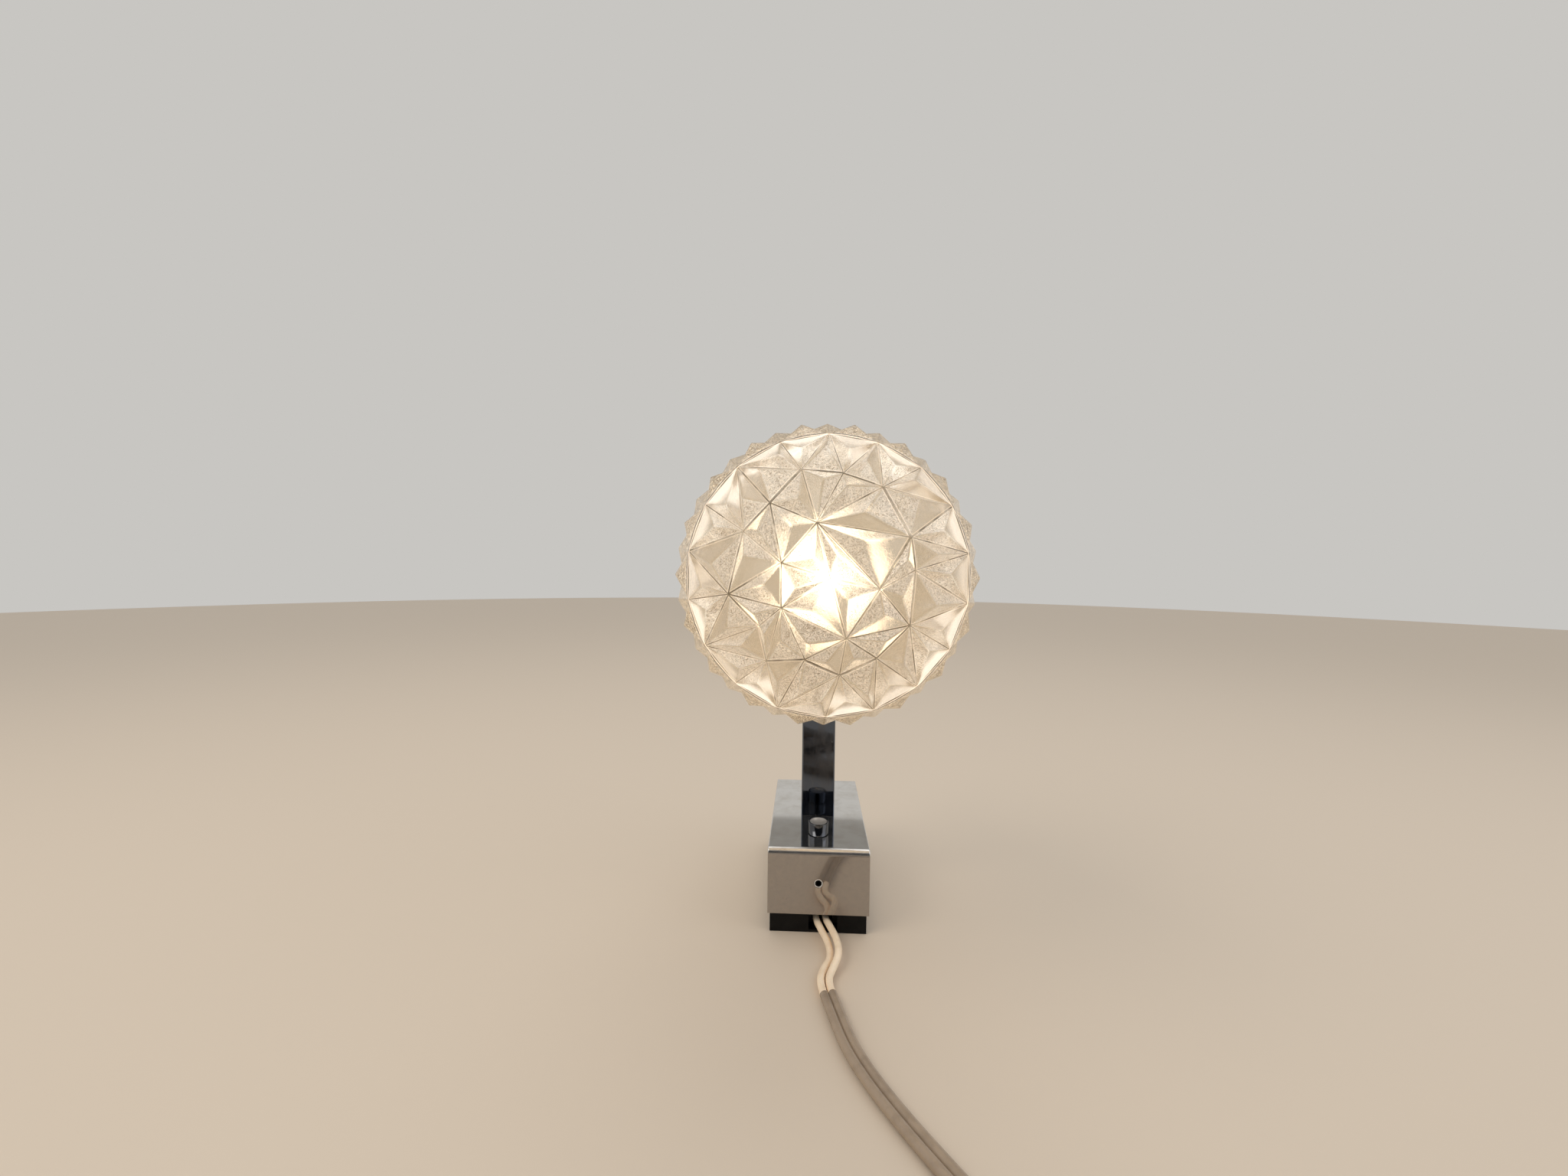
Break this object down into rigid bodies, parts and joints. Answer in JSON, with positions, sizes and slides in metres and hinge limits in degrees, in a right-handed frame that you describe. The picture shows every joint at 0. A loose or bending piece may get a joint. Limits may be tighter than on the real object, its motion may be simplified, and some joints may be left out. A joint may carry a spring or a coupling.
{
  "type": "wall sconce",
  "caption": "Wall sconce: chromed box with a push-button switch, square black chrome arm and faceted glass globe on a screwed gallery, fed by a flat flex with a plug.",
  "frame": {"origin": "middle of the back of the wall tray, on the wall plane", "axes": "+Z away from the wall along the arm, +Y along the box away from the cord's end, +X across the box"},
  "size_m": [0.1369, 0.3688, 0.2363],
  "materials": {
    "chrome": "worn bright chrome plate on steel",
    "black_lacquer": "black stove lacquer on steel",
    "plated_steel": "zinc-plated steel",
    "black_chrome": "black chrome plate on steel",
    "spring_steel": "drawn spring wire",
    "moulded_black": "moulded phenolic",
    "cream_plastic": "moulded cream thermoplastic",
    "brass": "turned and pressed brass",
    "rubber": "black rubber",
    "globe_glass": "pressed clear glass with a faint warm tint",
    "porcelain": "unglazed steatite",
    "nickelled_brass": "nickel-plated brass",
    "opal_glass": "opal glass, lit from inside",
    "clear_glass": "clear lead glass",
    "tungsten": "tungsten wire",
    "cream_vinyl": "extruded cream vinyl",
    "brown_vinyl": "extruded brown vinyl",
    "blue_vinyl": "extruded blue vinyl",
    "grey_vinyl": "extruded grey-beige vinyl",
    "tie_plastic": "black strap"
  },
  "bodies": {
    "sconce": {"cover": "chrome", "arm_tube": "black_chrome", "arm_cap": "black_chrome", "gallery": "chrome", "globe_collar": "chrome", "wall_tray": "black_lacquer", "press_nuts": "plated_steel", "cover_screws": "plated_steel", "foot_plug": "plated_steel", "foot_nipple": "plated_steel", "foot_washer": "plated_steel", "foot_nut": "plated_steel", "globe_nipple": "plated_steel", "globe_nut": "plated_steel", "switch_nut": "plated_steel", "switch_bracket": "plated_steel", "switch_spring": "spring_steel", "switch_body": "moulded_black", "switch_tabs": "brass", "terminal_block": "cream_plastic", "terminal_sleeves": "brass", "terminal_screws": "plated_steel", "block_screw": "plated_steel", "clamp_saddle": "moulded_black", "clamp_bar": "moulded_black", "clamp_screws": "plated_steel", "gasket": "rubber", "holder_cap": "moulded_black", "holder_skirt": "moulded_black", "holder_insert": "porcelain", "holder_contact": "brass", "holder_sleeve": "brass", "lead_tails": "cream_vinyl", "wire_block_to_switch": "brown_vinyl", "wire_switch_to_holder": "brown_vinyl", "wire_block_to_holder": "blue_vinyl", "lead_left": "cream_vinyl", "lead_right": "cream_vinyl", "flex_run": "grey_vinyl", "flex_coil": "grey_vinyl", "coil_tie": "tie_plastic", "plug_relief": "grey_vinyl", "plug_body": "grey_vinyl", "plug_pins": "nickelled_brass"},
    "button": {"button_cap": "chrome", "button_stem": "moulded_black"},
    "bulb": {"bulb_cap": "nickelled_brass", "bulb_contact": "nickelled_brass", "bulb_glass": "opal_glass", "bulb_stem": "clear_glass", "bulb_filament": "tungsten"},
    "globe": {"glass_shade": "globe_glass"}
  },
  "joints": [
    {"name": "button_press", "type": "slide", "parent": "sconce", "child": "button", "axis": [0, 0, -1], "range_m": [0, 0.0025], "stiffness_N_per_m": 800, "springref_m": -0.001, "deforming": ["switch_spring"]},
    {"name": "bulb_turn", "type": "hinge", "parent": "sconce", "child": "bulb", "pos_m": [0, -0.05, 0.1756], "axis": [0, -1, 0], "continuous": true},
    {"name": "globe_turn", "type": "hinge", "parent": "sconce", "child": "globe", "pos_m": [0, -0.025, 0.1756], "axis": [0, -1, 0], "continuous": true}
  ]
}
